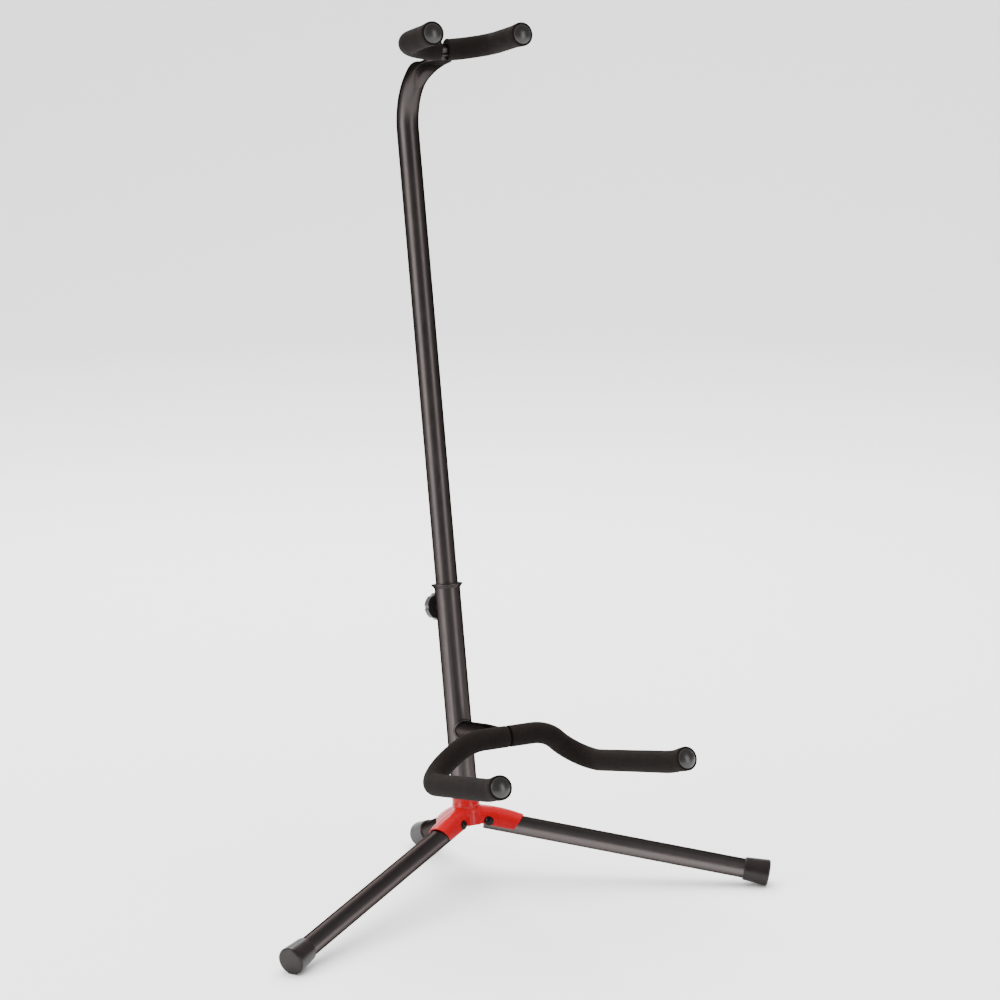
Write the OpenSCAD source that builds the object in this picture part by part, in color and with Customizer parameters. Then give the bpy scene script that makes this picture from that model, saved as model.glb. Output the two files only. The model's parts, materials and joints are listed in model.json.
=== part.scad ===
// Folding guitar stand: a bent-rod yoke for the neck on a telescoping post, a second
// yoke for the body, and three legs that fold down out of a pressed steel hub.
// Millimetres, +Z up. The front faces -Y, and left and right are those of a person
// who looks at the front from outside, so left is -X.

/* [Stance] */
// Height of the hub's pivot plane above the floor, on the post's axis
pivot_height = 57; // [50:0.5:70]
// Backward lean of the post, in degrees
post_lean = 10.8; // [6:0.2:14]
// Drop of the legs below the hub's own plane, in degrees
leg_drop = 15.3; // [12:0.1:20]
// Distance that the hub sits behind the middle of the stand's overall box
hub_setback = 60; // [50:0.1:80]

/* [Tubes] */
// Outer diameter of the lower tube
lower_tube_d = 25.4; // [24:0.1:28]
// Outer diameter of the upper tube
upper_tube_d = 22; // [20:0.1:22.4]
// Outer diameter of the legs
leg_d = 19; // [18:0.1:19.4]
// Wall of every tube
tube_wall = 1; // [0.8:0.1:1.5]
// Distance from the pivot plane up to the lower tube's lip
lip_height = 235.4; // [225:0.1:245]
// Length of upper tube that stays inside the lower tube at rest
insertion = 112; // [100:1:130]
// Distance from the pivot plane up to the start of the top bend
bend_start = 681; // [650:1:700]
// Centre-line radius of the top bend
bend_radius = 54; // [45:1:60]

/* [Yokes] */
// Diameter of the bent steel rods
rod_d = 9.5; // [8:0.1:10]
// Outer diameter of the foam sleeves
foam_d = 20.6; // [19:0.1:22]
// Half of the gap between the two body sleeves
body_gap = 1.4; // [1:0.1:3]
// Half of the gap between the two neck sleeves
neck_gap = 4.2; // [2:0.1:6]
// Forward distance from the post's axis to the body rod
body_reach = 105.4; // [100:0.1:110]
// Height of the body rod's middle above the pivot plane
body_height = 91; // [85:0.1:95]
// Forward distance from the post's axis to the neck rod
neck_reach = 92; // [90:0.1:100]
// Height of the neck rod's middle above the pivot plane, at rest
neck_height = 743.1; // [735:0.1:750]

/* [Hub and feet] */
// Radius of the three leg pivots about the post's axis
pivot_radius = 22; // [21:0.1:24]
// Thickness of the hub's pressed sheet
sheet = 1.2; // [1:0.1:1.5]
// Outer diameter of the rubber feet at their ends
foot_d = 26; // [25:0.1:28]
// Length of the rubber feet
foot_length = 25; // [22:0.5:30]

/* [Clamp] */
// Outer diameter of the clamp knob
knob_d = 28; // [26:0.1:30]
// Distance of the clamp screw below the lip
clamp_below_lip = 23; // [20:0.5:25]

/* [Hidden] */
$fn = 64;

// Running clearance of every shaft in its hole, and the gap between parts that only pass
running = 0.05;
passing = 0.3;
// A cutter's overshoot past a face
over = 1;
// Width and thickness of the bands over the joints of a bent bar
band_h = 0.5;
band_t = 0.02;

steel_black = [0.10, 0.09, 0.09];
foam_black = [0.22, 0.20, 0.19];
plastic_black = [0.14, 0.13, 0.13];
hub_red = [0.86, 0.11, 0.13];

lower_r = lower_tube_d / 2;
upper_r = upper_tube_d / 2;
leg_r = leg_d / 2;
rod_r = rod_d / 2;
foam_r = foam_d / 2;
lower_bore_r = lower_r - tube_wall;
upper_bore_r = upper_r - tube_wall;

// Azimuths of the legs, from straight ahead towards the right
FRONT_RIGHT = 60;
FRONT_LEFT = -60;
REAR = 180;

// ---- Frames ----

// The post's own frame: origin on its axis in the pivot plane, +Z up the post, -Y ahead
module post_frame() {
    translate([0, hub_setback, pivot_height]) rotate([-post_lean, 0, 0]) children();
}

// A leg's frame: origin at its pivot, +X out along the leg, +Y across, +Z off its back
module leg_frame(azimuth) {
    post_frame() rotate([0, 0, azimuth - 90]) translate([pivot_radius, 0, 0])
        rotate([0, leg_drop, 0]) children();
}

// A rod's frame at the middle of a yoke, with +Z along the rod and +X ahead
module rod_frame(reach, height, side) {
    post_frame() mirror([side < 0 ? 1 : 0, 0, 0]) translate([0, -reach, height])
        multmatrix([[0, 0, 1, 0], [-1, 0, 0, 0], [0, -1, 0, 0], [0, 0, 0, 1]])
            children();
}

// ---- Bent tubes and rods ----

// A run is a list of steps: [length] goes straight on, and [radius, angle, roll] bends
// through angle, towards the direction that roll gives about the run's own axis.
module step_on(step) {
    if (len(step) == 1) {
        translate([0, 0, step[0]]) children();
    } else {
        rotate([0, 0, step[2]]) translate([step[0], 0, 0]) rotate([0, step[1], 0])
            translate([-step[0], 0, 0]) rotate([0, 0, -step[2]]) children();
    }
}

// Round bar along the run. A thin band over each joint lets neighbouring steps fuse.
module bent_bar(run, r, i = 0) {
    if (i < len(run)) {
        step = run[i];
        if (len(step) == 1) {
            cylinder(r = r, h = step[0]);
        } else {
            rotate([0, 0, step[2]]) translate([step[0], 0, 0]) rotate([90, 0, 180])
                rotate_extrude(angle = step[1], $fn = 160) translate([step[0], 0])
                    circle(r = r, $fn = 64);
        }
        if (i > 0) translate([0, 0, -band_h / 2]) cylinder(r = r + band_t, h = band_h);
        step_on(step) bent_bar(run, r, i + 1);
    }
}

// Places its children at the end of the run
module end_of_run(run, i = 0) {
    if (i < len(run)) {
        step_on(run[i]) end_of_run(run, i + 1) children();
    } else {
        children();
    }
}

// ---- Hub ----

arm_w = leg_r + passing + sheet;
roof_rise = 13.7;
roof_radius = 150;
roof_crest = 5;
skirt = 4;
mouth_bottom = 27;
mouth_slope = 0.4;
corner_r = 2.5;
arm_root = -23;
fillet_r = 12;
fillet_at = (arm_w + fillet_r) / sin(60);
web_low = -3;
shoulder_low = 8;
shoulder_high = 13.5;
collar_top = 27;
neck_r = lower_r + 0.4;
bead_r = lower_r + 1;
bead_low = 12.9;
bead_high = 19.6;

// Long arched bar with straight sides, crowned along the leg, in a leg's frame
module arched_bar(half_width, crest) {
    sweep = 32;
    depth = 30;
    translate([roof_crest, 0, crest - roof_radius]) rotate([90, 0, 0])
        rotate([0, 0, 90 - sweep / 2]) rotate_extrude(angle = sweep, $fn = 256)
            union() {
                translate([roof_radius - half_width, 0]) circle(r = half_width);
                translate([roof_radius - half_width - depth, -half_width])
                    square([depth, 2 * half_width]);
            }
}

// Side view of an arm: level skirt, rounded corner and raked mouth
module arm_side() {
    top = 30;
    corner = [for (a = [-90 : 15 : -15])
        [mouth_bottom - corner_r + corner_r * cos(a), -skirt + corner_r + corner_r * sin(a)]];
    polygon(concat([[arm_root, top], [arm_root, -skirt]], corner,
        [[mouth_bottom + mouth_slope * (top + skirt), top]]));
}

// Outline of the hub's middle, with a round corner between each two arms
module web_plan(half_width, corner) {
    along = fillet_at * cos(60);
    difference() {
        circle(r = norm([along, half_width]));
        for (a = [0, 120, 240]) rotate([0, 0, a - 90]) translate([fillet_at, 0])
            circle(r = corner);
    }
}

// Middle of the hub, up to the shoulder under the collar
module web(half_width, corner, low, turn, high, top_r) {
    along = fillet_at * cos(60);
    outer = norm([along, half_width]);
    intersection() {
        translate([0, 0, low]) linear_extrude(high - low) web_plan(half_width, corner);
        union() {
            translate([0, 0, low]) cylinder(r = outer, h = turn - low);
            translate([0, 0, turn]) cylinder(r1 = outer, r2 = top_r, h = high - turn);
        }
    }
}

module collar() {
    bulge = (bead_high - bead_low) / 2;
    translate([0, 0, shoulder_low]) cylinder(r = neck_r, h = collar_top - shoulder_low);
    rotate_extrude() polygon(concat([[neck_r - over, bead_low - 1]],
        [for (a = [-90 : 15 : 90])
            [bead_r - 1.2 + 1.2 * cos(a), (bead_low + bead_high) / 2 + bulge * sin(a)]],
        [[neck_r - over, bead_high + 1]]));
}

module hub() {
    inner_w = arm_w - sheet;
    color(hub_red) difference() {
        union() {
            for (a = [FRONT_RIGHT, FRONT_LEFT, REAR]) leg_frame(a) intersection() {
                arched_bar(arm_w, roof_rise);
                rotate([90, 0, 0]) translate([0, 0, -40]) linear_extrude(80) arm_side();
            }
            post_frame() web(arm_w, fillet_r, web_low, shoulder_low, shoulder_high, neck_r);
            post_frame() collar();
        }
        for (a = [FRONT_RIGHT, FRONT_LEFT, REAR]) leg_frame(a) {
            intersection() {
                arched_bar(inner_w, roof_rise - sheet);
                translate([arm_root, -20, -30]) cube([80, 40, 60]);
            }
            rotate([90, 0, 0]) translate([0, 0, -20]) cylinder(r = rivet_r + running, h = 40);
        }
        post_frame() {
            web(inner_w, fillet_r + sheet, web_low - over, shoulder_low - sheet,
                shoulder_high - sheet, neck_r - sheet);
            translate([0, 0, web_low - 20])
                cylinder(r = lower_r + running / 2, h = collar_top + 40);
        }
    }
}

// ---- Legs, rivets and feet ----

rivet_r = 3;
rivet_head_r = 4.7;
rivet_head_h = 2.6;
inner_end = 4.8;
foot_fillet = 2;
foot_wall = 5;
foot_start_r = 11.2;
foot_flat = 0.5;

// Slope of a leg below the horizontal, and the height of its pivot
function leg_slope(azimuth) =
    asin(sin(leg_drop) * cos(post_lean) - cos(leg_drop) * cos(azimuth) * sin(post_lean));
function pivot_z(azimuth) = pivot_height + pivot_radius * cos(azimuth) * sin(post_lean);
// Height of the middle of a foot's end, which leaves a small flat on the floor
function foot_z(slope) =
    (foot_d / 2 - foot_fillet) * cos(slope) + foot_fillet * (1 - sin(slope)) - foot_flat;
// Distance from a leg's pivot to the end of its foot
function leg_reach(azimuth) =
    (pivot_z(azimuth) - foot_z(leg_slope(azimuth))) / sin(leg_slope(azimuth));

module leg(azimuth) {
    end = leg_reach(azimuth) - foot_wall;
    color(steel_black) leg_frame(azimuth) difference() {
        translate([-inner_end, 0, 0]) rotate([0, 90, 0]) difference() {
            cylinder(r = leg_r, h = end + inner_end);
            translate([0, 0, -over]) cylinder(r = leg_r - tube_wall, h = end + inner_end + 2);
        }
        rotate([90, 0, 0]) translate([0, 0, -leg_d]) cylinder(r = rivet_r + running, h = 2 * leg_d);
    }
}

module rivet_head() {
    ball_r = (pow(rivet_head_r, 2) + pow(rivet_head_h, 2)) / (2 * rivet_head_h);
    intersection() {
        translate([0, 0, rivet_head_h - ball_r]) sphere(r = ball_r);
        cylinder(r = rivet_head_r + over, h = rivet_head_h + over);
    }
}

module rivet(azimuth) {
    color(plastic_black) leg_frame(azimuth) rotate([90, 0, 0]) {
        translate([0, 0, -arm_w]) cylinder(r = rivet_r, h = 2 * arm_w);
        for (side = [0, 1]) mirror([0, 0, side]) translate([0, 0, arm_w]) rivet_head();
    }
}

module foot(azimuth) {
    reach = leg_reach(azimuth);
    end_r = foot_d / 2;
    lip = 1;
    color(plastic_black) difference() {
        leg_frame(azimuth) translate([reach - foot_length, 0, 0]) rotate([0, 90, 0])
            rotate_extrude() polygon(concat(
                [[0, foot_length - foot_wall], [leg_r + running, foot_length - foot_wall],
                 [leg_r + running, 0], [foot_start_r - lip, 0], [foot_start_r, lip]],
                [for (a = [0 : 15 : 90])
                    [end_r - foot_fillet + foot_fillet * cos(a),
                     foot_length - foot_fillet + foot_fillet * sin(a)]],
                [[0, foot_length]]));
        translate([-500, -500, -50]) cube([1000, 1000, 50]);
    }
}

// ---- Post ----

lip_r = 15.6;
lip_t = 1.6;
flare_h = 4.5;
mouth_w = 1.6;
mouth_h = 2;
tube_foot = 9.5;
bush_length = 11;
screw_r = 4;
screw_at = lip_height - clamp_below_lip;

module lower_tube() {
    flare_at = lip_height - flare_h;
    color(steel_black) post_frame() difference() {
        rotate_extrude() polygon(concat(
            [[lower_bore_r, tube_foot], [lower_r, tube_foot], [lower_r, flare_at],
             [lip_r - lip_t / 2, lip_height - lip_t]],
            [for (a = [-60 : 30 : 90])
                [lip_r - lip_t / 2 + lip_t / 2 * cos(a),
                 lip_height - lip_t / 2 + lip_t / 2 * sin(a)]],
            [[lower_bore_r + mouth_w, lip_height], [lower_bore_r, lip_height - mouth_h]]));
        translate([0, 0, screw_at]) rotate([-90, 0, 0]) cylinder(r = screw_r + passing, h = lower_tube_d);
    }
}

// Plastic sleeve in the mouth of the lower tube, which centres the upper tube
module tube_bush() {
    rim_r = lower_bore_r + mouth_w - 0.1;
    rim_h = 0.5;
    color(plastic_black) post_frame() rotate_extrude() polygon([
        [upper_r + running, lip_height - bush_length], [lower_bore_r, lip_height - bush_length],
        [lower_bore_r, lip_height - mouth_h], [rim_r, lip_height - 0.1],
        [rim_r, lip_height + rim_h], [upper_r + passing, lip_height + rim_h],
        [upper_r + running, lip_height]
    ]);
}

// Plug in the foot of the upper tube, with a collar that slides in the lower tube
module guide_plug() {
    foot = lip_height - insertion;
    collar_h = 8;
    stem_h = 14;
    color(plastic_black) post_frame() translate([0, 0, foot]) {
        translate([0, 0, -collar_h]) cylinder(r = lower_bore_r - running, h = collar_h);
        cylinder(r = upper_bore_r - running, h = stem_h);
    }
}

spade_w = 27;
spade_t = 4.6;
spade_round = 13;
spade_past = 1.5;

// Round tube's end pressed down to a flat of width w and thickness t, length ahead
module pressed_end(r, w, t, length, corner) {
    hull($fn = 32) {
        cylinder(r = r, h = over);
        for (side = [-1, 1]) translate([t / 2, side * (w / 2 - corner), length - corner])
            rotate([0, -90, 0]) cylinder(r = corner, h = t);
    }
}

module upper_tube() {
    foot = lip_height - insertion;
    neck = 6;
    run = [[bend_start - foot], [bend_radius, 90, -90], [neck]];
    spade_length = neck_reach - bend_radius - neck + spade_past;
    color(steel_black) post_frame() translate([0, 0, foot]) {
        difference() {
            bent_bar(run, upper_r);
            translate([0, 0, -over]) bent_bar(concat([[over + run[0][0]]], [run[1], run[2]],
                [[over]]), upper_bore_r);
        }
        end_of_run(run) rotate([0, 0, 90]) difference() {
            pressed_end(upper_r, spade_w, spade_t, spade_length, spade_round);
            pressed_end(upper_bore_r, spade_w - 2 * tube_wall, spade_t - 2 * tube_wall,
                spade_length - tube_wall, spade_round - tube_wall);
        }
    }
}

// ---- Clamp ----

boss_r = 7;
boss_out = 16;
knob_near = 17;
knob_far = 27.6;
knob_step = 2;
knob_face = 3;
knob_hub_r = 6.2;
lobes = 6;
scoop_r = 5;
scoop_depth = 0.9;
ridges = 5;
ridge_r = 0.45;
ridge_pitch = 7;
screw_head_r = 6.5;
screw_head_h = 4;
screw_head_top = knob_far - knob_face;

// Round nut welded to the back of the lower tube
module clamp_boss() {
    color(steel_black) post_frame() difference() {
        translate([0, 0, screw_at]) rotate([-90, 0, 0]) difference() {
            cylinder(r = boss_r, h = boss_out);
            translate([0, 0, -over]) cylinder(r = screw_r + running, h = boss_out + 2);
        }
        translate([0, 0, screw_at - 20]) cylinder(r = lower_r + running / 2, h = 40);
    }
}

// Screw that presses on the upper tube, with its head inside the knob
module clamp_screw() {
    tip = upper_r + passing;
    color("silver") post_frame() translate([0, 0, screw_at]) rotate([-90, 0, 0]) {
        translate([0, 0, tip + over]) cylinder(r = screw_r, h = screw_head_top - tip - over);
        translate([0, 0, tip]) cylinder(r1 = screw_r - over, r2 = screw_r, h = over);
        translate([0, 0, screw_head_top - screw_head_h])
            cylinder(r = screw_head_r, h = screw_head_h);
    }
}

// Six-lobed hand knob: ridged lobes with smooth scoops between them
module clamp_knob() {
    outer = knob_d / 2;
    color(plastic_black) post_frame() translate([0, 0, screw_at]) rotate([-90, 0, 0])
        difference() {
            union() {
                translate([0, 0, knob_near + knob_step])
                    linear_extrude(knob_far - knob_near - knob_step)
                    difference() {
                        circle(r = outer);
                        for (i = [0 : lobes - 1]) {
                            rotate([0, 0, i * 360 / lobes])
                                translate([outer + scoop_r - scoop_depth, 0])
                                circle(r = scoop_r);
                            for (j = [0 : ridges - 1])
                                rotate([0, 0, (i + 0.5) * 360 / lobes
                                        + (j - (ridges - 1) / 2) * ridge_pitch])
                                    translate([outer + 0.1, 0]) circle(r = ridge_r);
                        }
                    }
                translate([0, 0, knob_near]) cylinder(r = knob_hub_r, h = knob_step + over);
            }
            translate([0, 0, knob_near - over]) cylinder(r = screw_r + running, h = 20);
            translate([0, 0, screw_head_top - screw_head_h - running])
                cylinder(r = screw_head_r + running, h = screw_head_h + 2 * running);
        }
}

// ---- Yokes ----

// Each yoke arm leaves the middle sideways and ends pointing ahead. A bend is
// [radius, angle, roll], and a short straight parts each two bends.
between_bends = 4;
body_first = 25;
body_shoulder = [42, 42, 118];
body_elbow = [28, 108, 2];
body_forearm = 114;
body_upturn = [120, 8, -52];
// Straight end that the plug is pushed on
body_end = 18;
body_run = [body_shoulder, [between_bends], body_elbow, [body_forearm], body_upturn, [body_end]];
neck_first = 5.5;
neck_dip = [60, 5, -97];
neck_elbow = [30, 90, 3];
neck_forearm = 47.5;
neck_run = [neck_dip, [between_bends], neck_elbow, [neck_forearm]];

cap_r = 9;
cap_dome_h = 3.4;
cap_stem_r = 7;
cap_depth = 13;
cap_rim_h = 2;

module rod_arm(first, run) {
    bent_bar(concat([[first]], run), rod_r);
}

// Foam sleeve on one arm, bored out at its tip for the plug
module foam_arm(first, run, gap) {
    difference() {
        translate([0, 0, gap]) bent_bar(concat([[first - gap]], run), foam_r);
        bent_bar(concat([[first]], run, [[over]]), rod_r + running);
        end_of_run(concat([[first]], run)) {
            translate([0, 0, -cap_depth]) cylinder(r = cap_stem_r + running, h = cap_depth + over);
            translate([0, 0, -cap_rim_h]) cylinder(r = cap_r + running, h = cap_rim_h + over);
        }
    }
}

// Domed plug pushed on the end of a rod
module cap_arm(first, run) {
    ball_r = (pow(cap_r, 2) + pow(cap_dome_h, 2)) / (2 * cap_dome_h);
    end_of_run(concat([[first]], run)) difference() {
        union() {
            translate([0, 0, -cap_depth]) cylinder(r = cap_stem_r, h = cap_depth);
            translate([0, 0, -cap_rim_h]) cylinder(r = cap_r, h = cap_rim_h);
            intersection() {
                translate([0, 0, cap_dome_h - ball_r]) sphere(r = ball_r);
                cylinder(r = cap_r + over, h = cap_dome_h + over);
            }
        }
        translate([0, 0, -cap_depth - over]) cylinder(r = rod_r + running, h = cap_depth + over);
    }
}

module body_rod() {
    color(steel_black) for (side = [-1, 1]) rod_frame(body_reach, body_height, side)
        rod_arm(body_first, body_run);
}

module neck_rod() {
    color(steel_black) for (side = [-1, 1]) rod_frame(neck_reach, neck_height, side)
        rod_arm(neck_first, neck_run);
}

// Notch in the back of a body sleeve, which lets the stub's oval end in to the rod
module stub_notch() {
    notch_r = 6.6;
    straight = oval_w / 2 + passing - notch_r;
    depth = foam_r + over + passing;
    translate([-foam_r - over, 0, 0]) rotate([0, 90, 0]) {
        translate([-straight, 0, 0]) cylinder(r = notch_r, h = depth);
        translate([-straight, -notch_r, 0]) cube([straight, 2 * notch_r, depth]);
    }
}

// Notch in the underside of a neck sleeve, over the upper tube's plate
module plate_notch() {
    roof = 2;
    translate([-foam_r - over, roof, 0])
        cube([foam_r + over + spade_past + passing, foam_r, spade_w / 2 + passing]);
}

module body_foam(side) {
    color(foam_black) rod_frame(body_reach, body_height, side) difference() {
        foam_arm(body_first, body_run, body_gap);
        stub_notch();
    }
}

module neck_foam(side) {
    color(foam_black) rod_frame(neck_reach, neck_height, side) difference() {
        foam_arm(neck_first, neck_run, neck_gap);
        plate_notch();
    }
}

module body_cap(side) {
    color(plastic_black) rod_frame(body_reach, body_height, side) cap_arm(body_first, body_run);
}

module neck_cap(side) {
    color(plastic_black) rod_frame(neck_reach, neck_height, side) cap_arm(neck_first, neck_run);
}

stub_r = 9;
oval_from = 60;
oval_h = 11;
oval_w = 22;

// Stub from the post to the body rod, pressed oval where the rod is welded to it
module yoke_stub() {
    color(steel_black) post_frame() translate([0, 0, body_height]) difference() {
        rotate([90, 0, 0]) difference() {
            union() {
                cylinder(r = stub_r, h = oval_from);
                translate([0, 0, oval_from]) oval_end(stub_r, oval_w, oval_h);
            }
            translate([0, 0, -over]) cylinder(r = stub_r - tube_wall, h = oval_from + 1.5 * over);
            translate([0, 0, oval_from])
                oval_end(stub_r - tube_wall, oval_w - 2 * tube_wall, oval_h - 2 * tube_wall);
        }
        translate([0, 0, -20]) cylinder(r = lower_r + running / 2, h = 40);
        translate([-30, -body_reach, 0]) rotate([0, 90, 0])
            cylinder(r = rod_r + running / 2, h = 60);
    }
}

// Tube that widens from round to oval, and ends inside the body rod's seat
module oval_end(r, w, h) {
    seat = body_reach - oval_from;
    hull($fn = 32) {
        cylinder(r = r, h = over);
        for (side = [-1, 1]) translate([side * (w - h) / 2, 0, seat - over])
            cylinder(r = h / 2, h = over);
    }
}

hub();
lower_tube();
tube_bush();
clamp_boss();
clamp_screw();
clamp_knob();
guide_plug();
upper_tube();
neck_rod();
neck_foam(-1);  // neck_foam_left
neck_foam(1);  // neck_foam_right
neck_cap(-1);  // neck_cap_left
neck_cap(1);  // neck_cap_right
yoke_stub();
body_rod();
body_foam(-1);  // body_foam_left
body_foam(1);  // body_foam_right
body_cap(-1);  // body_cap_left
body_cap(1);  // body_cap_right
leg(FRONT_LEFT);  // front_left_leg
leg(FRONT_RIGHT);  // front_right_leg
leg(REAR);  // rear_leg
rivet(FRONT_LEFT);  // front_left_rivet
rivet(FRONT_RIGHT);  // front_right_rivet
rivet(REAR);  // rear_rivet
foot(FRONT_LEFT);  // front_left_foot
foot(FRONT_RIGHT);  // front_right_foot
foot(REAR);  // rear_foot
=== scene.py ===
import bpy, bmesh, json, math
from mathutils import Matrix, Vector, noise


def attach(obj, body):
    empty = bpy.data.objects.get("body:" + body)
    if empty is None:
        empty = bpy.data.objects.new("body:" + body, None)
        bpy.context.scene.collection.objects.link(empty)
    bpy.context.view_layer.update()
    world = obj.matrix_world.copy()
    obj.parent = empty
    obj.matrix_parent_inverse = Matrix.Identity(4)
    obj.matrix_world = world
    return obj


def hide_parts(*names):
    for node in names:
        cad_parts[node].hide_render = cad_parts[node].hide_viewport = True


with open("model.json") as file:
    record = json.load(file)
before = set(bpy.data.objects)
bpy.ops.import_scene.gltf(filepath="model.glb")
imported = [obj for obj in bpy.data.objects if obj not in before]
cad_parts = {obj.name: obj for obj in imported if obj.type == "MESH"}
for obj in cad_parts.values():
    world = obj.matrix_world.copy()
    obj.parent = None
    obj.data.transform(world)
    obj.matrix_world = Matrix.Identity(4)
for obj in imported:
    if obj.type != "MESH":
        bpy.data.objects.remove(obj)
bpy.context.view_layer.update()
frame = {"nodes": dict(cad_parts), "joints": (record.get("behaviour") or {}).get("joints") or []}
nodes = frame["nodes"]
scene = bpy.context.scene

# ---------------------------------------------------------------- the post's own frame
MM = 0.001
joints = {j["name"]: j for j in frame["joints"]}
UP = Vector(joints["height_slide"]["axis"]).normalized()
BACK = Vector(joints["screw_feed"]["axis"]).normalized()
SIDE = Vector((1, 0, 0))
PIVOTS = [Vector(joints[n]["pos_m"]) for n in ("front_left_fold", "front_right_fold", "rear_fold")]
HUB = sum(PIVOTS, Vector()) / 3
# x to the side, y to the back and z up the post, in millimetres
POST = Matrix.Translation(HUB) @ Matrix((SIDE, BACK, UP)).transposed().to_4x4() @ Matrix.Scale(MM, 4)

# ---------------------------------------------------------------- sizes, in millimetres, as in the CAD
LOWER_R, UPPER_R, ROD_R = 12.7, 11.0, 4.75
# Places up the post: the upper tube's foot, the start of its bend, and the clamp screw
FOOT_OF_UPPER, BEND_START, SCREW_AT = 123.4, 681.0, 212.4
BEND_R = 54.0
# The upper tube's flattened end, and how far it reaches past the neck rod's axis
SPADE_HALF_W, SPADE_HALF_T, SPADE_PAST = 13.5, 2.3, 1.5
# The middle of each yoke's rod: how far ahead of the post's axis, and how far up
BODY_AT, NECK_AT = (105.4, 91.0), (92.0, 743.1)
# A yoke arm's steps: (length,) goes straight on, (radius, angle, roll) bends
BODY_STEPS = [(25,), (42, 42, 118), (4,), (28, 108, 2), (114,), (120, 8, -52), (18,)]
NECK_STEPS = [(5.5,), (60, 5, -97), (4,), (30, 90, 3), (47.5,)]
# How far from the middle each sleeve starts
BODY_GAP, NECK_GAP = 1.4, 4.2
FOAM_R, CAP_R = 10.3, 9.0

# ---------------------------------------------------------------- camera, in metres and degrees
CAMERA_AT = (-0.954, -1.8725, 0.778)
CAMERA_DOWN, CAMERA_TURN = 10.49, 27.13
CAMERA_LENS, CAMERA_SENSOR = 82.1, 36


# ---------------------------------------------------------------- frames along a run
def turn(angle, axis):
    return Matrix.Rotation(math.radians(angle), 4, axis)


def shift(x, y, z):
    return Matrix.Translation((x, y, z))


def rod_start(at, side):
    """Frame at a yoke's middle: +Z along the rod to that side, +X ahead."""
    m = Matrix(((0, 0, 1, 0), (-1, 0, 0, 0), (0, -1, 0, 0), (0, 0, 0, 1)))
    return Matrix.Diagonal((side, 1, 1, 1)) @ shift(0, -at[0], at[1]) @ m


def after(m, step, part=1.0):
    """The frame reached when part of a step is done."""
    if len(step) == 1:
        return m @ shift(0, 0, step[0] * part)
    radius, angle, roll = step
    return (m @ turn(roll, "Z") @ shift(radius, 0, 0) @ turn(angle * part, "Y")
            @ shift(-radius, 0, 0) @ turn(-roll, "Z"))


def route(start, steps, pitch=1.5):
    """[(frame, distance, bend)] along a run; bend is (roll, radius), or None on a straight."""
    out, m, run = [], start, 0.0
    for step in steps:
        if len(step) == 1:
            length, bend, least = step[0], None, 2
        else:
            radius, angle, roll = step
            length, bend, least = math.radians(angle) * radius, (math.radians(roll), radius), 3
        count = max(least, round(length / pitch))
        for i in range(count):
            out.append((after(m, step, i / count), run + length * i / count, bend))
        m, run = after(m, step), run + length
    out.append((m, run, None))
    return out


# ---------------------------------------------------------------- meshes
def mesh_object(name, verts, faces, body, material):
    mesh = bpy.data.meshes.new(name)
    mesh.from_pydata([tuple(v) for v in verts], [], faces)
    mesh.validate()
    bm = bmesh.new()
    bm.from_mesh(mesh)
    bmesh.ops.recalc_face_normals(bm, faces=bm.faces)
    bm.to_mesh(mesh)
    bm.free()
    obj = bpy.data.objects.new(name, mesh)
    scene.collection.objects.link(obj)
    mesh.materials.append(material)
    for polygon in mesh.polygons:
        polygon.use_smooth = True
    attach(obj, body)
    return obj


def loft(rings, closed=False, caps=False):
    """Vertices and faces that join rings of equal count."""
    verts = [v for ring in rings for v in ring]
    n, faces = len(rings[0]), []
    last = len(rings) if closed else len(rings) - 1
    for i in range(last):
        j = (i + 1) % len(rings)
        for k in range(n):
            beside = (k + 1) % n
            faces.append((i * n + k, i * n + beside, j * n + beside, j * n + k))
    if caps:
        faces.append(tuple(range(n)))
        faces.append(tuple((len(rings) - 1) * n + k for k in range(n)))
    return verts, faces


def crisp_edges(obj, degrees):
    """Smooth shading that stays crisp over edges sharper than this."""
    bm = bmesh.new()
    bm.from_mesh(obj.data)
    limit = math.radians(degrees)
    for edge in bm.edges:
        edge.smooth = not (len(edge.link_faces) == 2 and edge.calc_face_angle(0) > limit)
    bm.to_mesh(obj.data)
    bm.free()


def smoothstep(t):
    t = min(1.0, max(0.0, t))
    return t * t * (3 - 2 * t)


# ---------------------------------------------------------------- shader helpers
def grey(v):
    return (v, v, v)


OFF, ON = grey(0), grey(1)


def material(name, color, roughness, metallic=0.0, coat=0.0, coat_rough=0.1, specular=0.5, sheen=0.0):
    """The material, its node tree and its Principled BSDF."""
    m = bpy.data.materials.new(name)
    m.use_nodes = True
    nt = m.node_tree
    b = nt.nodes["Principled BSDF"]
    b.inputs["Base Color"].default_value = (*color, 1)
    b.inputs["Roughness"].default_value = roughness
    b.inputs["Metallic"].default_value = metallic
    b.inputs["Coat Weight"].default_value = coat
    b.inputs["Coat Roughness"].default_value = coat_rough
    b.inputs["Specular IOR Level"].default_value = specular
    b.inputs["Sheen Weight"].default_value = sheen
    return m, nt, b


def add(nt, kind, **values):
    n = nt.nodes.new(kind)
    for k, v in values.items():
        setattr(n, k, v)
    return n


def on_object(nt, texture):
    """Lays a texture out in the object's own coordinates."""
    coords = nt.nodes.get("coords") or add(nt, "ShaderNodeTexCoord", name="coords")
    nt.links.new(coords.outputs["Object"], texture.inputs["Vector"])


def cloud(nt, scale, detail, rough):
    n = add(nt, "ShaderNodeTexNoise")
    n.inputs["Scale"].default_value = scale
    n.inputs["Detail"].default_value = detail
    n.inputs["Roughness"].default_value = rough
    on_object(nt, n)
    return n.outputs["Fac"]


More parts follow.
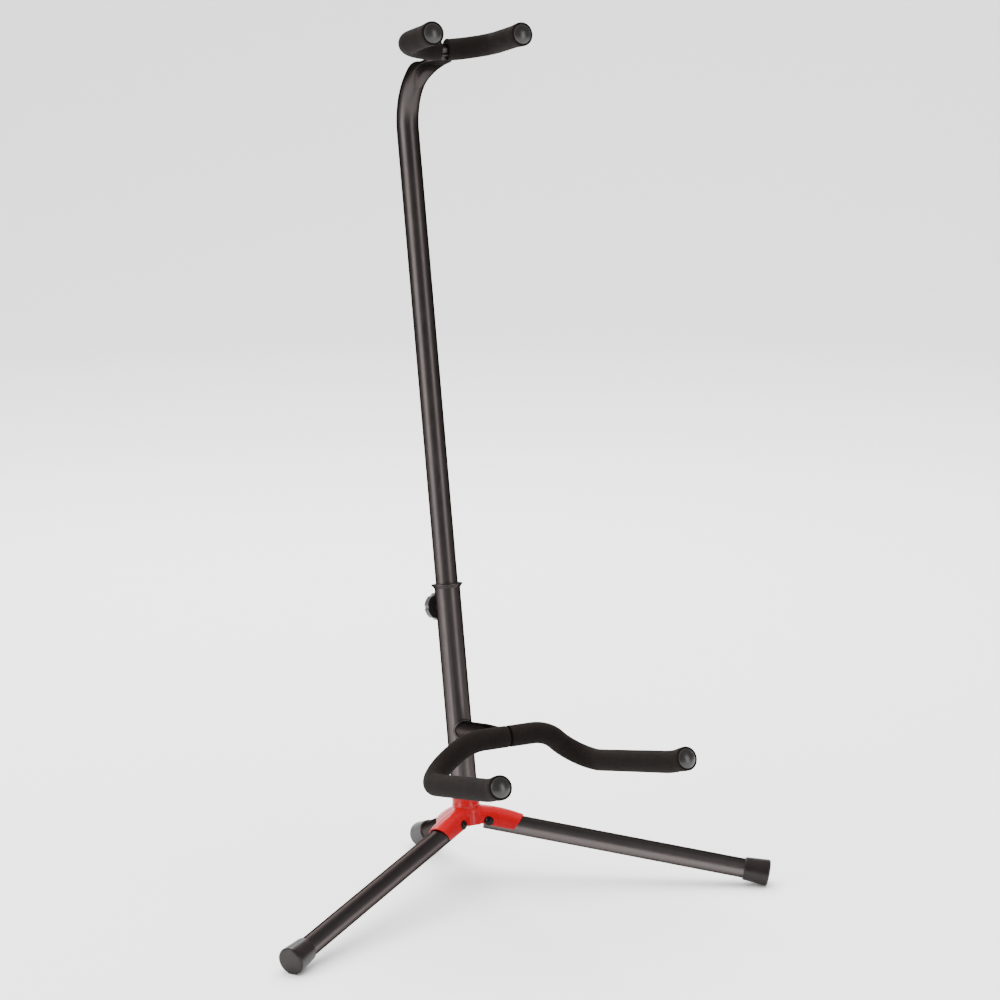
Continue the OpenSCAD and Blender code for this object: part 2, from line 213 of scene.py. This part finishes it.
def cells(nt, scale):
    n = add(nt, "ShaderNodeTexVoronoi", feature="F1")
    n.inputs["Scale"].default_value = scale
    on_object(nt, n)
    return n.outputs["Distance"]


def pointiness(nt):
    return add(nt, "ShaderNodeNewGeometry").outputs["Pointiness"]


def ramp(nt, source, low, high):
    """Colours a value between two stops, each (position, colour)."""
    r = add(nt, "ShaderNodeValToRGB")
    for i, (position, color) in enumerate((low, high)):
        r.color_ramp.elements[i].position = position
        r.color_ramp.elements[i].color = (*color, 1)
    nt.links.new(source, r.inputs["Fac"])
    return r.outputs["Color"]


def over(nt, factor, below, color):
    """A plain colour laid over another one where the factor is high."""
    m = add(nt, "ShaderNodeMix", data_type="RGBA")
    nt.links.new(factor, m.inputs["Factor"])
    nt.links.new(below, m.inputs["A"])
    m.inputs["B"].default_value = (*color, 1)
    return m.outputs["Result"]


def vary_roughness(nt, b, source, low, high):
    """Roughness that follows a texture between two stops, each (position, roughness)."""
    stops = [(position, grey(rough)) for position, rough in (low, high)]
    nt.links.new(ramp(nt, source, *stops), b.inputs["Roughness"])


def bump(nt, b, layers):
    """layers: (height socket, strength, distance in metres), coarse to fine."""
    last = None
    for height, strength, distance in layers:
        n = add(nt, "ShaderNodeBump")
        n.inputs["Strength"].default_value = strength
        n.inputs["Distance"].default_value = distance
        nt.links.new(height, n.inputs["Height"])
        if last:
            nt.links.new(last, n.inputs["Normal"])
        last = n.outputs["Normal"]
    nt.links.new(last, b.inputs["Normal"])


# ---------------------------------------------------------------- materials
def powder_coat():
    """Satin black coat over steel: fine orange peel, cloudy sheen and rubbed edges."""
    dark, light = (0.042, 0.037, 0.036), (0.052, 0.046, 0.045)
    rubbed = tuple(1.8 * c for c in light)
    m, nt, b = material("black_powder_coat", dark, 0.35, metallic=1.0)
    b.inputs["Specular Tint"].default_value = (0.10, 0.09, 0.09, 1)
    tone = ramp(nt, cloud(nt, 26, 5, 0.6), (0.3, dark), (0.75, light))
    wear = ramp(nt, pointiness(nt), (0.53, OFF), (0.64, ON))
    nt.links.new(over(nt, wear, tone, rubbed), b.inputs["Base Color"])
    vary_roughness(nt, b, cloud(nt, 60, 6, 0.7), (0.25, 0.33), (0.8, 0.43))
    orange_peel, grain = cloud(nt, 420, 2, 0.5), cloud(nt, 900, 3, 0.6)
    bump(nt, b, [(orange_peel, 0.12, 0.0002), (grain, 0.05, 0.0001)])
    return m


def red_enamel():
    """Glossy red enamel, with a painted highlight on the edges and painted shade in the dips."""
    m, nt, b = material("red_enamel", (0.27, 0.0003, 0.0035), 0.28, coat=0.15, coat_rough=0.05,
                        specular=0.12)
    tone = ramp(nt, cloud(nt, 45, 4, 0.55),
                (0.25, (0.25, 0.0002, 0.0030)), (0.8, (0.30, 0.0004, 0.0042)))
    shape = pointiness(nt)
    # Painted light: sharp edges get a lighter red as a painted highlight, and dips get a deeper red as
    # painted shade.
    edge = ramp(nt, shape, (0.54, OFF), (0.66, ON))
    painted_shade_mask = ramp(nt, shape, (0.38, ON), (0.47, OFF))
    with_painted_highlight = over(nt, edge, tone, (0.36, 0.003, 0.008))
    with_painted_shade = over(nt, painted_shade_mask, with_painted_highlight, (0.15, 0.0002, 0.0018))
    nt.links.new(with_painted_shade, b.inputs["Base Color"])
    vary_roughness(nt, b, cloud(nt, 90, 5, 0.6), (0.3, 0.24), (0.8, 0.40))
    orange_peel, sag = cloud(nt, 300, 2, 0.5), cloud(nt, 60, 2, 0.5)
    bump(nt, b, [(sag, 0.10, 0.0005), (orange_peel, 0.08, 0.00015)])
    return m


def cell_foam():
    """Closed-cell foam: open skin pores with painted shade in them, a soft mottle and a faint bloom at
    the edges.
    """
    m, nt, b = material("cell_foam", (0.0070, 0.0054, 0.0048), 0.92, specular=0.06, sheen=0.01)
    b.inputs["Sheen Roughness"].default_value = 0.5
    b.inputs["Sheen Tint"].default_value = (0.55, 0.50, 0.47, 1)
    mottle, pores, grain = cloud(nt, 90, 6, 0.65), cells(nt, 1300), cloud(nt, 1900, 4, 0.7)
    skin = ramp(nt, mottle, (0.28, (0.0060, 0.0046, 0.0041)), (0.75, (0.0088, 0.0069, 0.0061)))
    # Painted shade: the pores get a darker colour for the shade inside them.
    pore_shade_mask = ramp(nt, pores, (0.10, ON), (0.34, OFF))
    nt.links.new(over(nt, pore_shade_mask, skin, (0.0036, 0.0028, 0.0025)), b.inputs["Base Color"])
    vary_roughness(nt, b, grain, (0.3, 0.82), (0.7, 0.98))
    bump(nt, b, [(mottle, 0.25, 0.0006), (pores, 0.45, 0.0003), (grain, 0.35, 0.00018)])
    return m


def moulded(name, color, rough_low, rough_high, grain, depth, specular=0.5):
    """Moulded plastic or rubber with a fine spark-eroded grain of this scale and depth."""
    m, nt, b = material(name, color, rough_low, specular=specular)
    mottle = cloud(nt, 70, 5, 0.6)
    tone = ramp(nt, mottle, (0.3, color), (0.8, tuple(1.5 * c for c in color)))
    wear = ramp(nt, pointiness(nt), (0.53, OFF), (0.63, ON))
    nt.links.new(over(nt, wear, tone, tuple(3.0 * c for c in color)), b.inputs["Base Color"])
    vary_roughness(nt, b, cloud(nt, 150, 5, 0.65), (0.3, rough_low), (0.75, rough_high))
    bump(nt, b, [(mottle, 0.08, 0.0003), (cloud(nt, grain, 3, 0.6), depth, 0.00015)])
    return m


def rivet_enamel():
    m, nt, b = material("rivet_enamel", (0.003, 0.003, 0.003), 0.14, specular=0.12)
    mottle = cloud(nt, 120, 4, 0.6)
    vary_roughness(nt, b, mottle, (0.3, 0.09), (0.8, 0.2))
    tone = ramp(nt, mottle, (0.3, (0.0025, 0.0025, 0.0027)), (0.8, (0.0045, 0.0042, 0.0042)))
    nt.links.new(tone, b.inputs["Base Color"])
    bump(nt, b, [(cloud(nt, 260, 2, 0.5), 0.05, 0.0002)])
    return m


def zinc_plate():
    m, nt, b = material("zinc_plate", (0.62, 0.62, 0.60), 0.34, metallic=1.0)
    tone = ramp(nt, cloud(nt, 110, 5, 0.6), (0.3, (0.50, 0.50, 0.49)), (0.8, (0.70, 0.69, 0.66)))
    nt.links.new(tone, b.inputs["Base Color"])
    vary_roughness(nt, b, cloud(nt, 300, 4, 0.6), (0.3, 0.25), (0.8, 0.45))
    bump(nt, b, [(cloud(nt, 800, 3, 0.6), 0.1, 0.0001)])
    return m


BLACK, RED, FOAM = powder_coat(), red_enamel(), cell_foam()
PLUG = moulded("plug_plastic", (0.0050, 0.0042, 0.0040), 0.33, 0.40, 500, 0.03)
KNOB = moulded("knob_plastic", (0.0065, 0.0055, 0.0055), 0.34, 0.46, 650, 0.12, specular=0.28)
RUBBER = moulded("foot_rubber", (0.0080, 0.0060, 0.0058), 0.28, 0.38, 900, 0.12, specular=0.22)
NYLON = moulded("bush_nylon", (0.007, 0.0065, 0.0065), 0.42, 0.55, 600, 0.1)
RIVET, ZINC = rivet_enamel(), zinc_plate()


def dress(material, *names):
    """Gives CAD nodes their material."""
    for name in names:
        mesh = nodes[name].data
        mesh.materials.clear()
        mesh.materials.append(material)


dress(BLACK, "lower_tube", "clamp_boss", "neck_rod", "yoke_stub", "body_rod",
      "front_left_leg", "front_right_leg", "rear_leg", "upper_tube")
dress(RIVET, "front_left_rivet", "front_right_rivet", "rear_rivet")
dress(RUBBER, "front_left_foot", "front_right_foot", "rear_foot")
dress(PLUG, "neck_cap_left", "neck_cap_right", "body_cap_left", "body_cap_right")
dress(NYLON, "tube_bush", "guide_plug")
dress(KNOB, "clamp_knob")
dress(ZINC, "clamp_screw")
dress(RED, "hub")

# ---------------------------------------------------------------- foam sleeves
AROUND = 64
BORE_R = ROD_R + 0.06
# Over the plug the sleeve swells, from this far before the tip and over this length
SWELL, SWELL_FROM, SWELL_OVER = 0.75, 16, 13
# Elsewhere the skin lies this far inside the CAD's sleeve
SKIN_INSET = 0.05
# A slow waviness of the skin: its height, its length along the arm, its spread around it
WAVE, WAVE_LENGTH, WAVE_AROUND = 0.07, 16, 0.8
# The inside of a bend tighter than this is squeezed and lightly wrinkled
TIGHT_BEND_R, SQUEEZE, WRINKLE, WRINKLE_PITCH = 100, 0.08, 0.05, 7.5
# The square cut at the middle: its rounded edge, the bore's flare, and the face between them
CUT_EDGE, FLARE, FLARE_DEPTH, FACE_R, FACE_DISH = 0.3, 0.35, 0.9, 7.6, 0.05
# Gap round the plug's rim, and how far before the tip the skin gives way to the lip
SOCKET_GAP, LIP_FROM = 0.08, 1.6
# The rounded lip falls off on both sides by this part of its width
LIP_FALL = 0.45
# The socket for the plug's rim and stem, inward from the tip: (depth, radius)
SOCKET = [(1.2, CAP_R + 0.10), (1.9, CAP_R + 0.05), (2.2, 7.2), (12.8, 7.1), (13.2, BORE_R)]
# The bore needs fewer rings than the skin
BORE_FROM, BORE_STEP = 1.5, 4


def foam_sleeve(name, body, at, steps, gap, side, seed):
    """Foam tube slid on a bent rod: cut square at the middle, swollen round the plug at the tip."""
    middle = rod_start(at, side)
    start = middle @ shift(0, 0, gap)
    frames = route(middle, steps)
    end, total = frames[-1][0], frames[-1][1]

    def skin(distance, angle, bend=None):
        r = FOAM_R - SKIN_INSET + SWELL * smoothstep((distance - (total - SWELL_FROM)) / SWELL_OVER)
        r += WAVE * noise.noise(Vector((math.cos(angle) * WAVE_AROUND + seed,
                                        math.sin(angle) * WAVE_AROUND, distance / WAVE_LENGTH)))
        if bend and bend[1] < TIGHT_BEND_R:
            inner = max(0.0, math.cos(angle - bend[0])) ** 2
            r -= inner * (SQUEEZE + WRINKLE * math.sin(2 * math.pi * distance / WRINKLE_PITCH))
        return r

    def ring(m, along, radius_at):
        m = m @ shift(0, 0, along)
        points = []
        for k in range(AROUND):
            a = 2 * math.pi * k / AROUND
            r = radius_at(a)
            points.append(POST @ (m @ Vector((r * math.cos(a), r * math.sin(a), 0))))
        return points

    def plain_ring(m, along, radius):
        return ring(m, along, lambda a: radius)

    # bore and cut face at the middle
    rings = [plain_ring(start, FLARE_DEPTH, BORE_R),
             plain_ring(start, 0, ROD_R + FLARE),
             plain_ring(start, FACE_DISH, FACE_R)]
    for q in (0, 30, 60):
        across, along = math.sin(math.radians(q)), math.cos(math.radians(q))
        rings.append(ring(start, CUT_EDGE * (1 - along),
                          lambda a: skin(gap, a) - CUT_EDGE * (1 - across)))
    # skin along the arm
    for m, distance, bend in frames:
        if gap + CUT_EDGE <= distance <= total - LIP_FROM:
            rings.append(ring(m, 0, lambda a: skin(distance, a, bend)))
    # rounded lip at the tip, and the step that the plug's rim sits in
    socket_r = CAP_R + SOCKET_GAP
    lip = skin(total, 0) - socket_r
    for q in range(0, 181, 20):
        across, along = 0.5 * (1 + math.cos(math.radians(q))), math.sin(math.radians(q))
        rings.append(ring(end, -LIP_FALL * lip * (1 - along),
                          lambda a: socket_r + (skin(total, a) - socket_r) * across))
    rings += [plain_ring(end, -depth, radius) for depth, radius in SOCKET]
    # back through the bore
    inside = [m for m, distance, bend in frames if gap + BORE_FROM < distance < total - SWELL_FROM]
    rings += [plain_ring(m, 0, BORE_R) for m in reversed(inside[::BORE_STEP])]
    verts, faces = loft(rings, closed=True)
    obj = mesh_object(name, verts, faces, body, FOAM)
    crisp_edges(obj, 55)
    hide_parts(name.replace("_sleeve", ""))


foam_sleeve("body_foam_left_sleeve", "stand", BODY_AT, BODY_STEPS, BODY_GAP, -1, 3.1)
foam_sleeve("body_foam_right_sleeve", "stand", BODY_AT, BODY_STEPS, BODY_GAP, 1, 7.7)
foam_sleeve("neck_foam_left_sleeve", "neck", NECK_AT, NECK_STEPS, NECK_GAP, -1, 12.9)
foam_sleeve("neck_foam_right_sleeve", "neck", NECK_AT, NECK_STEPS, NECK_GAP, 1, 18.3)


# ---------------------------------------------------------------- upper tube
# The tube goes flat between these distances from its end
FLATTEN_FROM, FLATTEN_TO = 70, 22
# Valley that the press leaves in both faces: depth, spread, and the part of it on the +Y face
VALLEY, VALLEY_SPREAD, VALLEY_PART = 3.4, 0.42, 0.55
# Up to this distance along it the straight tube keeps one ring in this many
STRAIGHT_TO, STRAIGHT_STEP = 520, 24


def tube_section(flat, round_end):
    """Points around the tube: flat goes from 0, round, to 1, pressed; round_end narrows its end."""
    w = UPPER_R + (SPADE_HALF_W - UPPER_R) * flat
    h = UPPER_R + (SPADE_HALF_T - UPPER_R) * flat
    w *= math.sqrt(max(0.02, 1 - round_end ** 2))
    power = 2 / (2 + 3.0 * flat)
    points = []
    for k in range(AROUND):
        a = 2 * math.pi * k / AROUND
        ca, sa = math.cos(a), math.sin(a)
        x = w * math.copysign(abs(ca) ** power, ca)
        y = h * math.copysign(abs(sa) ** power, sa)
        dent = VALLEY * (flat * (1 - flat)) ** 0.8 * 2 * math.exp(-(x / (VALLEY_SPREAD * w)) ** 2)
        y -= math.copysign(min(dent, abs(y) * 0.8), y) * (1.0 if y < 0 else VALLEY_PART)
        points.append(Vector((x, y, 0)))
    return points


def upper_tube():
    """The tube in one sweep: round, bent over, and pressed flat under the neck rod."""
    steps = [(BEND_START - FOOT_OF_UPPER,), (BEND_R, 90, -90), (NECK_AT[0] + SPADE_PAST - BEND_R,)]
    frames = route(shift(0, 0, FOOT_OF_UPPER), steps, 1.0)
    total = frames[-1][1]
    rings = []
    for i, (m, distance, bend) in enumerate(frames):
        if i < 2 or distance > STRAIGHT_TO or i % STRAIGHT_STEP == 0:
            flat = smoothstep((distance - (total - FLATTEN_FROM)) / (FLATTEN_FROM - FLATTEN_TO))
            round_end = max(0.0, (distance - (total - SPADE_HALF_W)) / SPADE_HALF_W)
            rings.append([POST @ (m @ point) for point in tube_section(flat, round_end)])
    verts, faces = loft(rings, caps=True)
    obj = mesh_object("upper_tube_shell", verts, faces, "neck", BLACK)
    crisp_edges(obj, 50)
    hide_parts("upper_tube")


upper_tube()


# ---------------------------------------------------------------- hub
def pressed_hub():
    """The hub with the soft corners of drawn sheet: remeshed from the CAD node and relaxed."""
    obj = bpy.data.objects.new("hub_pressing", nodes["hub"].data.copy())
    scene.collection.objects.link(obj)
    bm = bmesh.new()
    bm.from_mesh(obj.data)
    bmesh.ops.remove_doubles(bm, verts=bm.verts, dist=1e-6)
    bm.to_mesh(obj.data)
    bm.free()
    remesh = obj.modifiers.new("remesh", "REMESH")
    remesh.mode, remesh.voxel_size = "VOXEL", 0.0004
    relax = obj.modifiers.new("relax", "SMOOTH")
    relax.factor, relax.iterations = 0.5, 6
    thin = obj.modifiers.new("thin", "DECIMATE")
    thin.ratio = 0.45
    shaped = obj.evaluated_get(bpy.context.evaluated_depsgraph_get())
    mesh = bpy.data.meshes.new_from_object(shaped)
    obj.modifiers.clear()
    obj.data = mesh
    mesh.materials.clear()
    mesh.materials.append(RED)
    for polygon in mesh.polygons:
        polygon.use_smooth = True
    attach(obj, "stand")
    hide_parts("hub")


pressed_hub()

# ---------------------------------------------------------------- welds
BEAD_AROUND, RIPPLE, RIPPLE_HEIGHT = 12, 1.7, 0.10
# An open bead's ends have this part of its thickness, and it gains this much at each point
BEAD_START, BEAD_GAIN = 0.35, 1 / 3


def bead(name, points, radius, body, closed=False):
    """A stack-of-coins weld bead along points, given in the post's frame."""
    pts = [Vector(p) for p in points]
    n, rings = len(pts), []
    run, normal = 0.0, None
    for i, p in enumerate(pts):
        before = pts[(i - 1) % n] if (closed or i) else p
        ahead = pts[(i + 1) % n] if (closed or i < n - 1) else p
        tangent = (ahead - before).normalized()
        if normal is None:
            normal = tangent.orthogonal().normalized()
        normal = (normal - tangent * normal.dot(tangent)).normalized()
        side = tangent.cross(normal)
        if i:
            run += (p - pts[i - 1]).length
        full = 1.0 if closed else min(1.0, BEAD_START + min(i, n - 1 - i) * BEAD_GAIN)
        coin = RIPPLE_HEIGHT * math.cos(2 * math.pi * run / RIPPLE)
        r = radius * full * (1 + coin + RIPPLE_HEIGHT * noise.noise(p * 0.7))
        angles = [2 * math.pi * k / BEAD_AROUND for k in range(BEAD_AROUND)]
        rings.append([POST @ (p + (normal * math.cos(q) + side * math.sin(q)) * r) for q in angles])
    verts, faces = loft(rings, closed=closed, caps=not closed)
    mesh_object(name, verts, faces, body, BLACK)


def saddle(r, side, height, count=120):
    """Curve where a tube of radius r meets the lower tube, on its back (1) or front (-1)."""
    out = []
    for k in range(count):
        a = 2 * math.pi * k / count
        x, z = r * math.cos(a), r * math.sin(a)
        out.append((x, side * math.sqrt(LOWER_R ** 2 - x ** 2), height + z))
    return out


def crossing(at, half, behind, above, count=60):
    """Straight line from side to side, placed from the middle of a yoke's rod."""
    y, z = behind - at[0], at[1] + above
    return [(-half + 2 * half * i / count, y, z) for i in range(count + 1)]


def welds():
    bead("stub_weld", saddle(r=9.3, side=-1, height=BODY_AT[1]), 1.5, "stand", closed=True)
    bead("boss_weld", saddle(r=7.2, side=1, height=SCREW_AT, count=90), 1.1, "stand", closed=True)
    for tag, above in (("top", 5.3), ("under", -5.3)):
        bead("rod_weld_" + tag, crossing(BODY_AT, half=9.5, behind=3.2, above=above), 1.5, "stand")
    bead("neck_weld_front", crossing(NECK_AT, half=4.5, behind=-1.4, above=-5.4, count=30), 1.5, "neck")
    bead("neck_weld_back", crossing(NECK_AT, half=9.5, behind=4.0, above=-5.0), 1.8, "neck")


welds()


# ---------------------------------------------------------------- stage, lights and camera
def floor_and_sweep():
    """Round pale floor in one piece that curves up behind the object, as the camera sees it."""
    around, start, rise, wall = 120, 4.6, 2.0, (2.6, 3.4)
    # The sweep reaches this many degrees to each side, and fades out over the last of them
    half_angle, fade = 52, 14
    profile = [(r, 0.0) for r in (1.5, 3.0, start)]
    profile += [(start + rise * math.sin(math.radians(q)), rise - rise * math.cos(math.radians(q)))
                for q in range(5, 91, 5)]
    profile += [(start + rise, z) for z in wall]
    behind = math.radians(90 - CAMERA_TURN)
    verts = [Vector((0, 0, 0))]
    for k in range(around):
        a = 2 * math.pi * k / around
        off = abs(math.degrees(math.remainder(a - behind, 2 * math.pi)))
        up = smoothstep((half_angle - off) / fade)
        verts += [Vector((r * math.cos(a), r * math.sin(a), z * up)) for r, z in profile]
    n, faces = len(profile), []
    for k in range(around):
        here, there = 1 + k * n, 1 + (k + 1) % around * n
        faces.append((0, here, there))
        faces += [(here + i, here + i + 1, there + i + 1, there + i) for i in range(n - 1)]
    mesh = bpy.data.meshes.new("floor")
    mesh.from_pydata([tuple(v) for v in verts], [], faces)
    for polygon in mesh.polygons:
        polygon.use_smooth = True
    mesh.materials.append(material("floor_white", (0.80, 0.80, 0.80), 0.9, specular=0.1)[0])
    obj = bpy.data.objects.new("floor", mesh)
    scene.collection.objects.link(obj)


def area_light(name, position, target, size, power, color=(1, 1, 1)):
    data = bpy.data.lights.new(name, "AREA")
    data.shape = "RECTANGLE"
    data.size, data.size_y = size
    data.energy = power
    data.color = color
    obj = bpy.data.objects.new(name, data)
    scene.collection.objects.link(obj)
    obj.location = position
    obj.rotation_euler = (Vector(target) - Vector(position)).to_track_quat("-Z", "Y").to_euler()
    return obj


def lights():
    """Two tall strips at the sides, one lamp high behind, and a ceiling that lights the floor."""
    warm = (1.0, 0.975, 0.96)
    area_light("left_strip", (-2.35, -0.10, 1.05), (0, 0, 0.5), (1.5, 2.1), 78, warm)
    area_light("right_strip", (0.95, -2.35, 1.05), (0, 0, 0.5), (0.9, 2.1), 40, warm)
    ceiling = area_light("ceiling", (0.6, 1.2, 4.0), (0.6, 1.2, 0), (6.0, 6.0), 900)
    ceiling.visible_glossy = False
    area_light("back_high", (0.52, 1.96, 1.59), (0, 0, 0.03), (1.4, 0.5), 24, (1.0, 0.97, 0.97))
    world = bpy.data.worlds.new("studio")
    scene.world = world
    world.use_nodes = True
    background = world.node_tree.nodes["Background"]
    background.inputs["Color"].default_value = (1, 1, 1, 1)
    background.inputs["Strength"].default_value = 0.40


def place_camera():
    data = bpy.data.cameras.new("camera")
    data.lens, data.sensor_width = CAMERA_LENS, CAMERA_SENSOR
    data.clip_end = 100
    camera = bpy.data.objects.new("camera", data)
    scene.collection.objects.link(camera)
    camera.location = CAMERA_AT
    camera.rotation_euler = (math.radians(90 - CAMERA_DOWN), 0, math.radians(-CAMERA_TURN))
    bpy.context.scene.camera = camera


floor_and_sweep()
lights()
place_camera()

bpy.context.view_layer.update()
